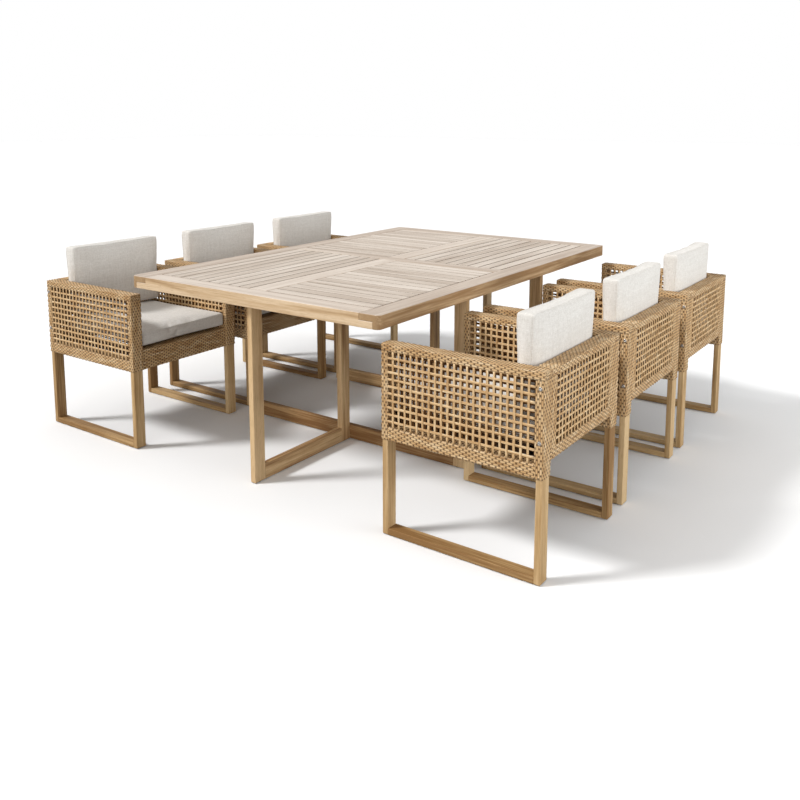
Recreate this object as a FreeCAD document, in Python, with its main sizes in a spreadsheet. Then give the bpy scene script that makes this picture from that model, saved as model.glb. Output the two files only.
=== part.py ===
"""Patio dining set: a slatted acacia table on two T-shaped pedestals, and six woven armchairs.

Frame: X runs along the table, Y across it, Z up. The origin is on the floor under the middle of
the table. Three chairs stand along each long side and face the table. All sizes are millimetres.
"""
import FreeCAD, Part
import os
import Sketcher

doc = FreeCAD.newDocument("patio_dining_set")

# ---------------------------------------------------------------- driving dimensions
DIMENSIONS = [
    ("table_length", 1900, "table top along X"),
    ("table_width", 1260, "table top along Y"),
    ("table_height", 750, "floor to table top"),
    ("top_thickness", 50, "edge of the table top"),
    ("border_width", 84, "rails round the table top"),
    ("centre_beam_width", 88, "lengthwise beam in the middle of the top"),
    ("cross_beam_width", 62, "crosswise beam in the middle of the top"),
    ("top_corner_radius", 20, "rounding of the top's four corners, seen from above"),
    ("lap_stop", 27, "wood left outside the corner lap joint"),
    ("slat_thickness", 20, "slats of the table top"),
    ("slat_gap", 5, "gap beside each slat"),
    ("slat_end_gap", 2.5, "gap at each slat's end"),
    ("long_way_slats", 9, "slats in each lengthwise panel"),
    ("cross_way_slats", 15, "slats in each crosswise panel"),
    ("batten_width", 45, "battens that carry the slats"),
    ("board_thickness", 24, "boards of the pedestals"),
    ("pedestal_leg_width", 56, "pedestal legs, in the plane of their frame"),
    ("floor_rail_height", 61, "rails of the pedestals along the floor"),
    ("top_rail_height", 20, "rails of the pedestals under the top"),
    ("end_inset", 36, "table end to the outer leg"),
    ("side_inset", 35, "table side to the cross frame's leg"),
    ("knee_clearance", 20, "middle chair to the cross frames when it is tucked in"),
    ("chair_board_thickness", 22, "boards of the chair legs and of the rails along the floor"),
    ("glide_height", 3, "plastic glides under every frame"),
    ("glide_radius", 10, "plastic glides"),
    ("glide_inset", 40, "rail's end to the glide's middle"),
    ("chair_width", 580, "outside of one arm to outside of the other"),
    ("chair_depth", 590, "front to back"),
    ("chair_gap", 85, "between neighbouring chairs"),
    ("chair_front_gap", 10, "table side to the chair fronts"),
    ("arm_height", 664, "floor to the top of arms and back"),
    ("arm_underside", 334, "floor to the bottom of the woven arms"),
    ("arm_thickness", 54, "woven arm"),
    ("back_thickness", 54, "woven back"),
    ("back_underside", 381, "floor to the bottom of the woven back"),
    ("weave_thickness", 3.6, "two layers of woven strands"),
    ("strand_width", 8, "bundle of strands between two lattice holes"),
    ("top_band", 28, "close weave above the lattice"),
    ("arm_bottom_band", 47, "close weave under the arm's lattice"),
    ("arm_front_band", 26, "close weave in front of the arm's lattice"),
    ("arm_back_band", 33, "close weave behind the arm's lattice"),
    ("back_bottom_band", 42, "close weave under the back's lattice"),
    ("back_side_band", 34, "close weave beside the back's lattice"),
    ("deck_band", 28, "close weave round the seat deck's lattice"),
    ("arm_columns", 23, "lattice holes along an arm"),
    ("arm_rows", 11, "lattice holes up an arm"),
    ("back_columns", 18, "lattice holes across the back"),
    ("back_rows", 10, "lattice holes up the back"),
    ("deck_columns", 18, "lattice holes across the seat deck"),
    ("deck_rows", 18, "lattice holes along the seat deck"),
    ("seat_height", 420, "floor to the seat deck and the apron's top"),
    ("apron_thickness", 46, "woven apron under the seat's front"),
    ("apron_recess", 4, "arm fronts to the apron"),
    ("tube_depth", 20, "aluminium tubes in the arms and the back"),
    ("tube_wall", 1.5, "wall of every aluminium tube"),
    ("seat_tube_width", 25, "tubes under the seat deck"),
    ("seat_tube_height", 34, "tubes under the seat deck"),
    ("bolt_radius", 3, "bolts and screws"),
    ("bolt_head_radius", 6.5, "bolts and screws"),
    ("bolt_head_height", 2.6, "dome of a bolt head"),
    ("upper_bolt_height", 613, "floor to the upper side bolts"),
    ("lower_bolt_height", 448, "floor to the lower side bolts"),
    ("bolt_grip", 4, "how far a bolt reaches into the piece it holds"),
    ("screw_bite", 22, "how far the table's screws and bolts reach into wood"),
    ("seat_cushion_thickness", 88, "at its crown"),
    ("back_cushion_thickness", 86, "front to back"),
    ("back_cushion_height", 308, "bottom to top"),
    ("cushion_clearance", 3, "cushion to arms and back"),
    ("cushion_front_recess", 10, "arm fronts to the seat cushion"),
    ("cushion_chamfer", 9, "softened edges of the cushions"),
    ("rest_gap", 0.3, "loose cushion to what it lies on"),
]
sizes = doc.addObject("Spreadsheet::Sheet", "sizes")
for line, (alias, value, meaning) in enumerate(DIMENSIONS, start=1):
    sizes.set(f"A{line}", meaning)
    sizes.set(f"B{line}", str(value))
    sizes.setAlias(f"B{line}", alias)
doc.recompute()


def cell(alias):
    """The number in the sheet's cell of that alias."""
    return float(sizes.get(alias))


def expression(text):
    """Write each bare alias in a formula as a reference to the sheet."""
    words = sorted((alias for alias, value, meaning in DIMENSIONS), key=len, reverse=True)
    parts = []
    for word in text.replace("(", " ( ").replace(")", " ) ").split():
        parts.append(f"sizes.{word}" if word in words else word)
    return " ".join(parts)


def bind(thing, name, text):
    """Tie a property of an object to a formula of sheet aliases."""
    thing.setExpression(name, expression(text))


def place(thing, x="0", y="0", z="0", axis=None, angle=0):
    """Give an object its Placement: a fixed turn, and a position worked out from the sheet."""
    if axis:
        thing.Placement = FreeCAD.Placement(FreeCAD.Vector(), FreeCAD.Rotation(FreeCAD.Vector(*axis), angle))
    bind(thing, "Placement.Base.x", x)
    bind(thing, "Placement.Base.y", y)
    bind(thing, "Placement.Base.z", z)
    return thing


# ---------------------------------------------------------------- building blocks
def block(name, x, y, z):
    """A plain board or bar: each of x, y and z is a (low, high) pair of formulas."""
    box = doc.addObject("Part::Box", name)
    for size, (low, high) in zip(("Length", "Width", "Height"), (x, y, z)):
        bind(box, size, f"( {high} ) - ( {low} )")
    return place(box, x[0], y[0], z[0])


def tube(name, along, x, y, z):
    """A rectangular tube that is open at both ends of the axis it runs along."""
    wall = "tube_wall"
    spans = {"x": x, "y": y, "z": z}
    inside = {}
    for axis, (low, high) in spans.items():
        inside[axis] = (low, high) if axis == along else (f"( {low} ) + {wall}", f"( {high} ) - {wall}")
    cut = doc.addObject("Part::Cut", name)
    cut.Base = block(name + "_outside", x, y, z)
    cut.Tool = block(name + "_inside", inside["x"], inside["y"], inside["z"])
    return cut


def group(name, members):
    """Several separate solids kept together as one sub-part."""
    compound = doc.addObject("Part::Compound", name)
    compound.Links = members
    return compound


def copy_of(source, name, x="0", y="0", z="0", axis=None, angle=0):
    """The same solids again, moved and turned."""
    return place(group(name, [source]), x, y, z, axis, angle)


def origin_plane(body, role):
    """One of a body's own origin planes or axes."""
    return next(feature for feature in body.Origin.OriginFeatures if feature.Role == role)


def new_body(name):
    return doc.addObject("PartDesign::Body", name)


def sketch_on(body, name, role="XY_Plane"):
    """An empty sketch on one of a body's origin planes."""
    sketch = body.newObject("Sketcher::SketchObject", name)
    sketch.AttachmentSupport = [(origin_plane(body, role), "")]
    sketch.MapMode = "FlatFace"
    return sketch


def draw_rectangle(sketch, x, y, key="r"):
    """Add a constrained rectangle: x and y are (low, high) pairs of formulas, none of them negative."""
    first = sketch.GeometryCount
    corners = [FreeCAD.Vector(x, y, 0) for x, y in ((1, 1), (5, 1), (5, 4), (1, 4))]
    for index in range(4):
        sketch.addGeometry(Part.LineSegment(corners[index], corners[(index + 1) % 4]), False)
    for index in range(4):
        sketch.addConstraint(Sketcher.Constraint("Coincident", first + index, 2, first + (index + 1) % 4, 1))
    for index, kind in enumerate(("Horizontal", "Vertical", "Horizontal", "Vertical")):
        sketch.addConstraint(Sketcher.Constraint(kind, first + index))
    for kind, end, text, label in (
        ("DistanceX", 1, x[0], "left"), ("DistanceY", 1, y[0], "bottom"),
        ("DistanceX", 2, x[1], "right"), ("DistanceY", 3, y[1], "top"),
    ):
        line, point = (first, end) if end < 3 else (first + 2, 1)
        number = sketch.addConstraint(Sketcher.Constraint(kind, -1, 1, line, point, 1.0 if end == 1 else 5.0))
        sketch.renameConstraint(number, f"{key}_{label}")
        sketch.setExpression(f"Constraints.{key}_{label}", expression(text))


def pad(body, sketch, length, name):
    """Extrude a sketch away from its plane."""
    feature = body.newObject("PartDesign::Pad", name)
    feature.Profile = sketch
    bind(feature, "Length", length)
    return feature


def pocket(body, sketch, depth, name, reverse):
    """Cut a sketch's outline out of the solid."""
    feature = body.newObject("PartDesign::Pocket", name)
    feature.Profile = sketch
    feature.Reversed = reverse
    bind(feature, "Length", depth)
    return feature


def edges_along(feature, test):
    """Names of the edges of a feature whose middle and direction pass a test."""
    doc.recompute()
    names = []
    for number, edge in enumerate(feature.Shape.Edges, start=1):
        start, end = edge.firstVertex().Point, edge.lastVertex().Point
        if test((start + end) * 0.5, (end - start).normalize()):
            names.append(f"Edge{number}")
    return names


def turned(name, profile, x="0", y="0", z="0", axis=None, angle=0):
    """A solid of revolution about its own Z axis, from (radius, height) points of formulas."""
    body = new_body(name)
    sketch = sketch_on(body, name + "_profile", "XZ_Plane")
    count = len(profile)
    for index in range(count):
        start = FreeCAD.Vector(index % 2 + index, index + 1, 0)
        sketch.addGeometry(Part.LineSegment(start, start + FreeCAD.Vector(1, 2, 0)), False)
    for index in range(count):
        sketch.addConstraint(Sketcher.Constraint("Coincident", index, 2, (index + 1) % count, 1))
    for index, (radius, height) in enumerate(profile):
        for kind, text in (("DistanceX", radius), ("DistanceY", height)):
            number = sketch.addConstraint(Sketcher.Constraint(kind, -1, 1, index, 1, 1.0))
            sketch.renameConstraint(number, f"{kind}_{index}")
            sketch.setExpression(f"Constraints.{kind}_{index}", expression(text))
    revolution = body.newObject("PartDesign::Revolution", name + "_turned")
    revolution.Profile = sketch
    revolution.ReferenceAxis = (sketch, ["V_Axis"])
    revolution.Angle = 360
    return place(body, x, y, z, axis, angle)


def slotted_plate(name, width, height, margins, count, along):
    """One layer of a woven panel: a thin plate with a row of slots between its strands.

    The plate lies on XY with its corner at the origin. margins are the close-woven bands at the
    left, right, bottom and top, and the slots are spaced along x (strands that run up the panel)
    or along y (strands that run across it).
    """
    left, right, bottom, top = margins
    body = new_body(name)
    outline = sketch_on(body, name + "_outline")
    draw_rectangle(outline, ("0", width), ("0", height))
    pad(body, outline, "weave_thickness / 2", name + "_sheet")
    window_x = f"( {width} - {left} - {right} )"
    window_y = f"( {height} - {bottom} - {top} )"
    window = window_x if along == "x" else window_y
    pitch = f"( ( {window} + strand_width ) / {count} )"
    slot = sketch_on(body, name + "_slot")
    if along == "x":
        draw_rectangle(slot, (left, f"{left} + {pitch} - strand_width"), (bottom, f"{height} - {top}"))
    else:
        draw_rectangle(slot, (left, f"{width} - {right}"), (bottom, f"{bottom} + {pitch} - strand_width"))
    first = pocket(body, slot, "weave_thickness", name + "_first", True)
    doc.recompute()
    pattern = body.newObject("PartDesign::LinearPattern", name + "_slots")
    pattern.Originals = [first]
    pattern.Direction = (origin_plane(body, "X_Axis" if along == "x" else "Y_Axis"), [""])
    pattern.Mode = "Spacing"
    bind(pattern, "Offset", pitch)
    bind(pattern, "Occurrences", count)
    body.Tip = pattern
    return body


# ---------------------------------------------------------------- table top
HALF_LENGTH = "( table_length / 2 )"
HALF_WIDTH = "( table_width / 2 )"
TOP = "table_height"
UNDERSIDE = "( table_height - top_thickness )"
HALF_CENTRE_BEAM = "( centre_beam_width / 2 )"
HALF_CROSS_BEAM = "( cross_beam_width / 2 )"
PANEL_X = ("( cross_beam_width / 2 )", "( table_length / 2 - border_width )")
PANEL_Y = ("( centre_beam_width / 2 )", "( table_width / 2 - border_width )")


def long_rail():
    """A long side rail, with half of its thickness cut away under each end for the lap joint."""
    body = new_body("long_rail")
    outline = sketch_on(body, "long_rail_outline")
    draw_rectangle(outline, ("0", "table_length"), ("0", "border_width"))
    pad(body, outline, "top_thickness", "long_rail_board")
    laps = sketch_on(body, "long_rail_laps")
    lap_y = ("0", "border_width - lap_stop")
    draw_rectangle(laps, ("0", "border_width"), lap_y, "near")
    draw_rectangle(laps, ("table_length - border_width", "table_length"), lap_y, "far")
    cut = pocket(body, laps, "top_thickness / 2", "long_rail_lap_cut", True)
    outer = cell("border_width")
    corners = edges_along(cut, lambda middle, way: abs(way.z) > 0.99 and middle.y > outer - 1)
    rounding = body.newObject("PartDesign::Fillet", "long_rail_corners")
    rounding.Base = (cut, corners)
    bind(rounding, "Radius", "top_corner_radius")
    body.Tip = rounding
    return body


def end_rail():
    """An end rail, whose lower half runs on as a tongue under each long rail."""
    upper = block("end_rail_board", ("0", "border_width"), ("border_width", "table_width - border_width"),
                  ("0", "top_thickness"))
    tongues = block("end_rail_tongues", ("0", "border_width"), ("lap_stop", "table_width - lap_stop"),
                    ("0", "top_thickness / 2"))
    rail = doc.addObject("Part::Fuse", "end_rail")
    rail.Base, rail.Tool = upper, tongues
    return rail


def slats(name, count, across, along, spaced_along_x):
    """One panel of slats with equal gaps between and beside them; across and along are spans."""
    low, high = across
    width = f"( ( {high} - {low} - ( {count} + 1 ) * slat_gap ) / {count} )"
    members = []
    for index in range(int(cell(count))):
        start = f"( {low} + slat_gap + {index} * ( {width} + slat_gap ) )"
        side = (start, f"{start} + {width}")
        run = (f"{along[0]} + slat_end_gap", f"{along[1]} - slat_end_gap")
        x, y = (side, run) if spaced_along_x else (run, side)
        members.append(block(f"{name}_{index + 1}", x, y, (f"{TOP} - slat_thickness", TOP)))
    return group(name, members)


def battens(name, across, along, places, spaced_along_x):
    """Battens under one panel of slats, each starting at one of the given places."""
    members = []
    for index, start in enumerate(places):
        side = (start, f"{start} + batten_width")
        x, y = (side, along) if spaced_along_x else (along, side)
        members.append(block(f"{name}_{index + 1}", x, y, (UNDERSIDE, f"{TOP} - slat_thickness")))
    return group(name, members)


rail_body = long_rail()
left_rail = copy_of(rail_body, "left_long_rail",
                    f"- {HALF_LENGTH}", f"{HALF_WIDTH} - border_width", UNDERSIDE)
right_rail = copy_of(rail_body, "right_long_rail",
                     HALF_LENGTH, f"border_width - {HALF_WIDTH}", UNDERSIDE, (0, 0, 1), 180)
end_rail_shape = end_rail()
near_end = copy_of(end_rail_shape, "near_end_rail", f"- {HALF_LENGTH}", f"- {HALF_WIDTH}", UNDERSIDE)
far_end = copy_of(end_rail_shape, "far_end_rail", HALF_LENGTH, HALF_WIDTH, UNDERSIDE, (0, 0, 1), 180)

cross_beam = block("cross_beam", (f"- {HALF_CROSS_BEAM}", HALF_CROSS_BEAM),
                   (f"border_width - {HALF_WIDTH}", f"{HALF_WIDTH} - border_width"), (UNDERSIDE, TOP))
centre_beam = block("centre_beam", PANEL_X, (f"- {HALF_CENTRE_BEAM}", HALF_CENTRE_BEAM), (UNDERSIDE, TOP))
centre_beam_far = copy_of(centre_beam, "far_centre_beam")
centre_beam_near = copy_of(centre_beam, "near_centre_beam", axis=(0, 0, 1), angle=180)

# A lengthwise panel fills the quarter at +X, -Y and, turned half round, the one at -X, +Y.
NEAR_SIDE_Y = (f"( - {PANEL_Y[1]} )", f"( - {PANEL_Y[0]} )")
long_panel = slats("long_panel", "long_way_slats", NEAR_SIDE_Y, PANEL_X, False)
cross_panel = slats("cross_panel", "cross_way_slats", PANEL_X, PANEL_Y, True)

CROSS_FRAME_X = ("( chair_width / 2 + knee_clearance )",
                 "( chair_width / 2 + knee_clearance + board_thickness )")
OVER_FRAME = f"( {CROSS_FRAME_X[0]} + board_thickness / 2 - batten_width / 2 )"
long_battens = battens("long_panel_battens", PANEL_X, NEAR_SIDE_Y,
                       [PANEL_X[0], OVER_FRAME, f"( {PANEL_X[1]} - batten_width )"], True)
MIDDLE_BATTEN = f"( ( {PANEL_Y[0]} + {PANEL_Y[1]} - batten_width ) / 2 )"
cross_battens = battens("cross_panel_battens", PANEL_Y, PANEL_X,
                        [PANEL_Y[0], MIDDLE_BATTEN, f"( {PANEL_Y[1]} - batten_width )"], False)


def both_ends(source, name):
    """A piece and its copy turned half round about the table's middle."""
    return [source, copy_of(source, name + "_other", axis=(0, 0, 1), angle=180)]


# ---------------------------------------------------------------- table pedestals
LEG_Z = ("glide_height", UNDERSIDE)
FLOOR_RAIL_Z = ("glide_height", "glide_height + floor_rail_height")
TOP_RAIL_Z = (f"{UNDERSIDE} - top_rail_height", UNDERSIDE)
HALF_BOARD = "( board_thickness / 2 )"
FRAME_Y = (f"- {HALF_BOARD}", HALF_BOARD)
OUTER_LEG_X = (f"( {HALF_LENGTH} - end_inset - pedestal_leg_width )", f"( {HALF_LENGTH} - end_inset )")
INNER_LEG_X = (CROSS_FRAME_X[1], f"( {CROSS_FRAME_X[1]} + pedestal_leg_width )")
RAIL_X = (INNER_LEG_X[1], OUTER_LEG_X[0])
SIDE_LEG_Y = (f"( {HALF_WIDTH} - side_inset - pedestal_leg_width )", f"( {HALF_WIDTH} - side_inset )")

long_frame = group("long_frame", [
    block("outer_leg", OUTER_LEG_X, FRAME_Y, LEG_Z),
    block("inner_leg", INNER_LEG_X, FRAME_Y, LEG_Z),
    block("long_floor_rail", RAIL_X, FRAME_Y, FLOOR_RAIL_Z),
    block("long_top_rail", RAIL_X, FRAME_Y, TOP_RAIL_Z),
])
BETWEEN_SIDE_LEGS = (f"- {SIDE_LEG_Y[0]}", SIDE_LEG_Y[0])
cross_frame = group("cross_frame", [
    block("side_leg_left", CROSS_FRAME_X, SIDE_LEG_Y, LEG_Z),
    block("side_leg_right", CROSS_FRAME_X, (f"- {SIDE_LEG_Y[1]}", f"- {SIDE_LEG_Y[0]}"), LEG_Z),
    block("cross_floor_rail", CROSS_FRAME_X, BETWEEN_SIDE_LEGS, FLOOR_RAIL_Z),
    block("cross_top_rail", CROSS_FRAME_X, BETWEEN_SIDE_LEGS, TOP_RAIL_Z),
])

CROSS_FRAME_MIDDLE = f"( {CROSS_FRAME_X[0]} + {HALF_BOARD} )"


# A bolt head's dome in straight steps: its upright rim, and the shoulder above it as shares of its
# radius and height.
HEAD_RIM_SHARE = 0.35
HEAD_SHOULDER_SHARES = (0.7, 0.85)


def glide(name, x, y):
    """A round glide with a bevelled rim, standing on the floor."""
    rim = "glide_height / 3"
    profile = [("0", "0"), (f"glide_radius - {rim}", "0"), ("glide_radius", rim),
               ("glide_radius", "glide_height"), ("0", "glide_height")]
    return turned(name, profile, x, y)


def fastener(name, length, x, y, z, axis=None, angle=0):
    """A domed bolt or screw: its head stands on XY and its shank points down -Z."""
    rim = ("bolt_head_radius", f"bolt_head_height * {HEAD_RIM_SHARE}")
    shoulder = (f"bolt_head_radius * {HEAD_SHOULDER_SHARES[0]}",
                f"bolt_head_height * {HEAD_SHOULDER_SHARES[1]}")
    profile = [("0", f"- {length}"), ("bolt_radius", f"- {length}"), ("bolt_radius", "0"),
               ("bolt_head_radius", "0"), rim, shoulder, ("0", "bolt_head_height")]
    return turned(name, profile, x, y, z, axis, angle)


table_glides = [
    glide("outer_glide", f"{OUTER_LEG_X[1]} - pedestal_leg_width / 2", "0"),
    glide("left_glide", CROSS_FRAME_MIDDLE, f"{SIDE_LEG_Y[1]} - glide_inset"),
    glide("right_glide", CROSS_FRAME_MIDDLE, f"glide_inset - {SIDE_LEG_Y[1]}"),
]
UP_LENGTH = "( top_rail_height + screw_bite )"
LOW_TOP = f"{UNDERSIDE} - top_rail_height"
ACROSS_LENGTH = "( board_thickness + screw_bite )"
RAIL_QUARTER = f"( ( {RAIL_X[1]} - {RAIL_X[0]} ) / 4 )"
UNDER_BATTEN_Y = f"( {MIDDLE_BATTEN} + batten_width / 2 )"
UPWARDS = ((1, 0, 0), 180)
ALONG_X = ((0, 1, 0), -90)
table_fasteners = [
    fastener("long_top_screw_inner", UP_LENGTH, f"{RAIL_X[0]} + {RAIL_QUARTER}", "0", LOW_TOP, *UPWARDS),
    fastener("long_top_screw_outer", UP_LENGTH, f"{RAIL_X[1]} - {RAIL_QUARTER}", "0", LOW_TOP, *UPWARDS),
    fastener("cross_top_screw_left", UP_LENGTH, CROSS_FRAME_MIDDLE, UNDER_BATTEN_Y, LOW_TOP, *UPWARDS),
    fastener("cross_top_screw_right", UP_LENGTH, CROSS_FRAME_MIDDLE, f"- {UNDER_BATTEN_Y}", LOW_TOP,
             *UPWARDS),
    fastener("low_pedestal_bolt", ACROSS_LENGTH, CROSS_FRAME_X[0], "0",
             "glide_height + floor_rail_height / 2", *ALONG_X),
    fastener("high_pedestal_bolt", ACROSS_LENGTH, CROSS_FRAME_X[0], "0",
             f"{UNDERSIDE} - top_rail_height / 2", *ALONG_X),
]


def at_both_ends(name, members):
    """A group of pieces at the +X end together with the same group turned half round."""
    return group(name, both_ends(group(name + "_far", members), name))


# ---------------------------------------------------------------- one chair, facing +Y
HALF_CHAIR = "( chair_width / 2 )"
FRONT = "( chair_depth / 2 )"
BACK = "( - chair_depth / 2 )"
ARM_X = (f"( {HALF_CHAIR} - arm_thickness )", HALF_CHAIR)
CORE_X = (f"( {ARM_X[0]} + weave_thickness )", f"( {HALF_CHAIR} - weave_thickness )")
FRONT_LEG_Y = (f"( {FRONT} - weave_thickness - chair_board_thickness )", f"( {FRONT} - weave_thickness )")
BACK_LEG_Y = (f"( {BACK} + weave_thickness )", f"( {BACK} + weave_thickness + chair_board_thickness )")
BETWEEN_LEGS_Y = (BACK_LEG_Y[1], FRONT_LEG_Y[0])
UNDER_TOP = "( arm_height - weave_thickness )"
BACK_PANEL_Y = (BACK, f"( {BACK} + back_thickness )")
INNER_X = (f"( - {ARM_X[0]} )", ARM_X[0])
APRON_Y = (f"( {FRONT} - apron_recess - apron_thickness )", f"( {FRONT} - apron_recess )")
DECK_Y = (BACK_PANEL_Y[1], APRON_Y[0])


def mirrored_pair(name, source):
    """A piece on the chair's +X side and its mirror image on the other side."""
    mirror = doc.addObject("Part::Mirroring", name + "_other_side")
    mirror.Source = source
    mirror.Normal = (1, 0, 0)
    return group(name, [source, mirror])


def sled():
    """One side frame of a chair: two legs that run up inside the woven arm, and a floor rail."""
    leg_z = ("glide_height", UNDER_TOP)
    return group("sled", [
        block("front_leg", CORE_X, FRONT_LEG_Y, leg_z),
        block("back_leg", CORE_X, BACK_LEG_Y, leg_z),
        block("floor_rail", CORE_X, BETWEEN_LEGS_Y, ("glide_height", "glide_height + chair_board_thickness")),
    ])


def arm_tubes():
    """The two tubes that join a side frame's legs inside the woven arm."""
    top = (f"{UNDER_TOP} - tube_depth", UNDER_TOP)
    low = ("arm_underside + weave_thickness", "arm_underside + weave_thickness + tube_depth")
    return group("arm_tubes", [
        tube("arm_top_tube", "y", CORE_X, BETWEEN_LEGS_Y, top),
        tube("arm_low_tube", "y", CORE_X, BETWEEN_LEGS_Y, low),
    ])


def back_tubes():
    """The closed frame inside the woven back."""
    y = (f"{BACK} + weave_thickness", f"{BACK_PANEL_Y[1]} - weave_thickness")
    top = (f"{UNDER_TOP} - tube_depth", UNDER_TOP)
    low = ("back_underside + weave_thickness", "back_underside + weave_thickness + tube_depth")
    side = (f"{ARM_X[0]} - tube_depth", ARM_X[0])
    other_side = (f"- {ARM_X[0]}", f"tube_depth - {ARM_X[0]}")
    return [
        tube("back_top_tube", "x", INNER_X, y, top),
        tube("back_low_tube", "x", INNER_X, y, low),
        tube("back_side_tube", "z", side, y, (low[1], top[0])),
        tube("back_other_side_tube", "z", other_side, y, (low[1], top[0])),
    ]


def seat_tubes():
    """The frame under the seat deck: a deep front tube in the apron, and three shallower ones."""
    under_deck = ("seat_height - weave_thickness - seat_tube_height", "seat_height - weave_thickness")
    front_z = ("arm_underside + weave_thickness", "seat_height - weave_thickness")
    front_y = (f"{APRON_Y[0]} + weave_thickness", f"{APRON_Y[1]} - weave_thickness")
    rear_y = (DECK_Y[0], f"{DECK_Y[0]} + seat_tube_width")
    side_x = (f"{ARM_X[0]} - seat_tube_width", ARM_X[0])
    other_side_x = (f"- {ARM_X[0]}", f"seat_tube_width - {ARM_X[0]}")
    side_y = (rear_y[1], DECK_Y[1])
    return [
        tube("seat_front_tube", "x", INNER_X, front_y, front_z),
        tube("seat_rear_tube", "x", INNER_X, rear_y, under_deck),
        tube("seat_side_tube", "y", side_x, side_y, under_deck),
        tube("seat_other_side_tube", "y", other_side_x, side_y, under_deck),
    ]


def woven_panel(name, width, height, margins, columns, rows):
    """The two layers of one woven lattice, one on the other, lying on XY."""
    upright = slotted_plate(name + "_upright", width, height, margins, columns, "x")
    across = slotted_plate(name + "_across", width, height, margins, rows, "y")
    place(across, z="weave_thickness / 2")
    return group(name, [upright, across])


def woven_arm():
    """A woven arm: a lattice on each face, and strips of close weave round the edge."""
    margins = ("arm_back_band", "arm_front_band", "arm_bottom_band", "top_band")
    lattice = woven_panel("arm_lattice", "chair_depth", "( arm_height - arm_underside )", margins,
                          "arm_columns", "arm_rows")
    upright = ((1, 1, 1), 120)
    outer = copy_of(lattice, "arm_outer_face",
                    f"{HALF_CHAIR} - weave_thickness", BACK, "arm_underside", *upright)
    inner = copy_of(lattice, "arm_inner_face", ARM_X[0], BACK, "arm_underside", *upright)
    side_z = ("arm_underside", UNDER_TOP)
    return group("woven_arm", [
        outer,
        inner,
        block("arm_top_strip", CORE_X, (BACK, FRONT), (UNDER_TOP, "arm_height")),
        block("arm_front_strip", CORE_X, (FRONT_LEG_Y[1], FRONT), side_z),
        block("arm_back_strip", CORE_X, (BACK, BACK_LEG_Y[0]), side_z),
        block("arm_low_strip", CORE_X, BETWEEN_LEGS_Y, ("arm_underside", "arm_underside + weave_thickness")),
    ])


def woven_back():
    """The woven back between the arms: a lattice on each face, and strips along top and bottom."""
    margins = ("back_side_band", "back_side_band", "back_bottom_band", "top_band")
    lattice = woven_panel("back_lattice", f"( 2 * {ARM_X[0]} )", "( arm_height - back_underside )", margins,
                          "back_columns", "back_rows")
    standing = ((1, 0, 0), 90)
    outer = copy_of(lattice, "back_outer_face",
                    INNER_X[0], f"{BACK} + weave_thickness", "back_underside", *standing)
    inner = copy_of(lattice, "back_inner_face", INNER_X[0], BACK_PANEL_Y[1], "back_underside", *standing)
    y = (f"{BACK} + weave_thickness", f"{BACK_PANEL_Y[1]} - weave_thickness")
    return group("woven_back", [
        outer,
        inner,
        block("back_top_strip", INNER_X, y, (UNDER_TOP, "arm_height")),
        block("back_low_strip", INNER_X, y, ("back_underside", "back_underside + weave_thickness")),
    ])


def woven_seat():
    """The open seat deck, and the close-woven sleeve of the front apron."""
    margins = ("deck_band",) * 4
    deck = woven_panel("deck_lattice", f"( 2 * {ARM_X[0]} )", f"( {DECK_Y[1]} - {DECK_Y[0]} )", margins,
                       "deck_columns", "deck_rows")
    flat_deck = copy_of(deck, "seat_deck", INNER_X[0], DECK_Y[0], "seat_height - weave_thickness")
    sleeve = doc.addObject("Part::Cut", "apron_sleeve")
    sleeve.Base = block("apron_outside", INNER_X, APRON_Y, ("arm_underside", "seat_height"))
    sleeve.Tool = block("apron_inside", INNER_X,
                        (f"{APRON_Y[0]} + weave_thickness", f"{APRON_Y[1]} - weave_thickness"),
                        ("arm_underside + weave_thickness", "seat_height - weave_thickness"))
    return group("woven_seat", [flat_deck, sleeve])


def cushion(name, width, depth, height, x, y, z):
    """A boxed cushion with all its edges taken off."""
    body = new_body(name)
    outline = sketch_on(body, name + "_outline")
    draw_rectangle(outline, ("0", width), ("0", depth))
    block_of_foam = pad(body, outline, height, name + "_foam")
    edges = edges_along(block_of_foam, lambda middle, way: True)
    softened = body.newObject("PartDesign::Chamfer", name + "_soft_edges")
    softened.Base = (block_of_foam, edges)
    bind(softened, "Size", "cushion_chamfer")
    body.Tip = softened
    return place(body, x, y, z)


def side_fittings():
    """Two side bolts through the back leg, and the two glides under the floor rail."""
    bolt_length = "( arm_thickness + tube_wall + bolt_grip )"
    bolt_y = f"( {BACK_LEG_Y[0]} + chair_board_thickness / 2 )"
    rail_middle = f"( {CORE_X[0]} + {CORE_X[1]} ) / 2"
    return group("side_fittings", [
        fastener("upper_side_bolt", bolt_length, HALF_CHAIR, bolt_y, "upper_bolt_height", (0, 1, 0), 90),
        fastener("lower_side_bolt", bolt_length, HALF_CHAIR, bolt_y, "lower_bolt_height", (0, 1, 0), 90),
        glide("front_glide", rail_middle, f"{FRONT_LEG_Y[1]} - glide_inset"),
        glide("back_glide", rail_middle, f"{BACK_LEG_Y[0]} + glide_inset"),
    ])


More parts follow.
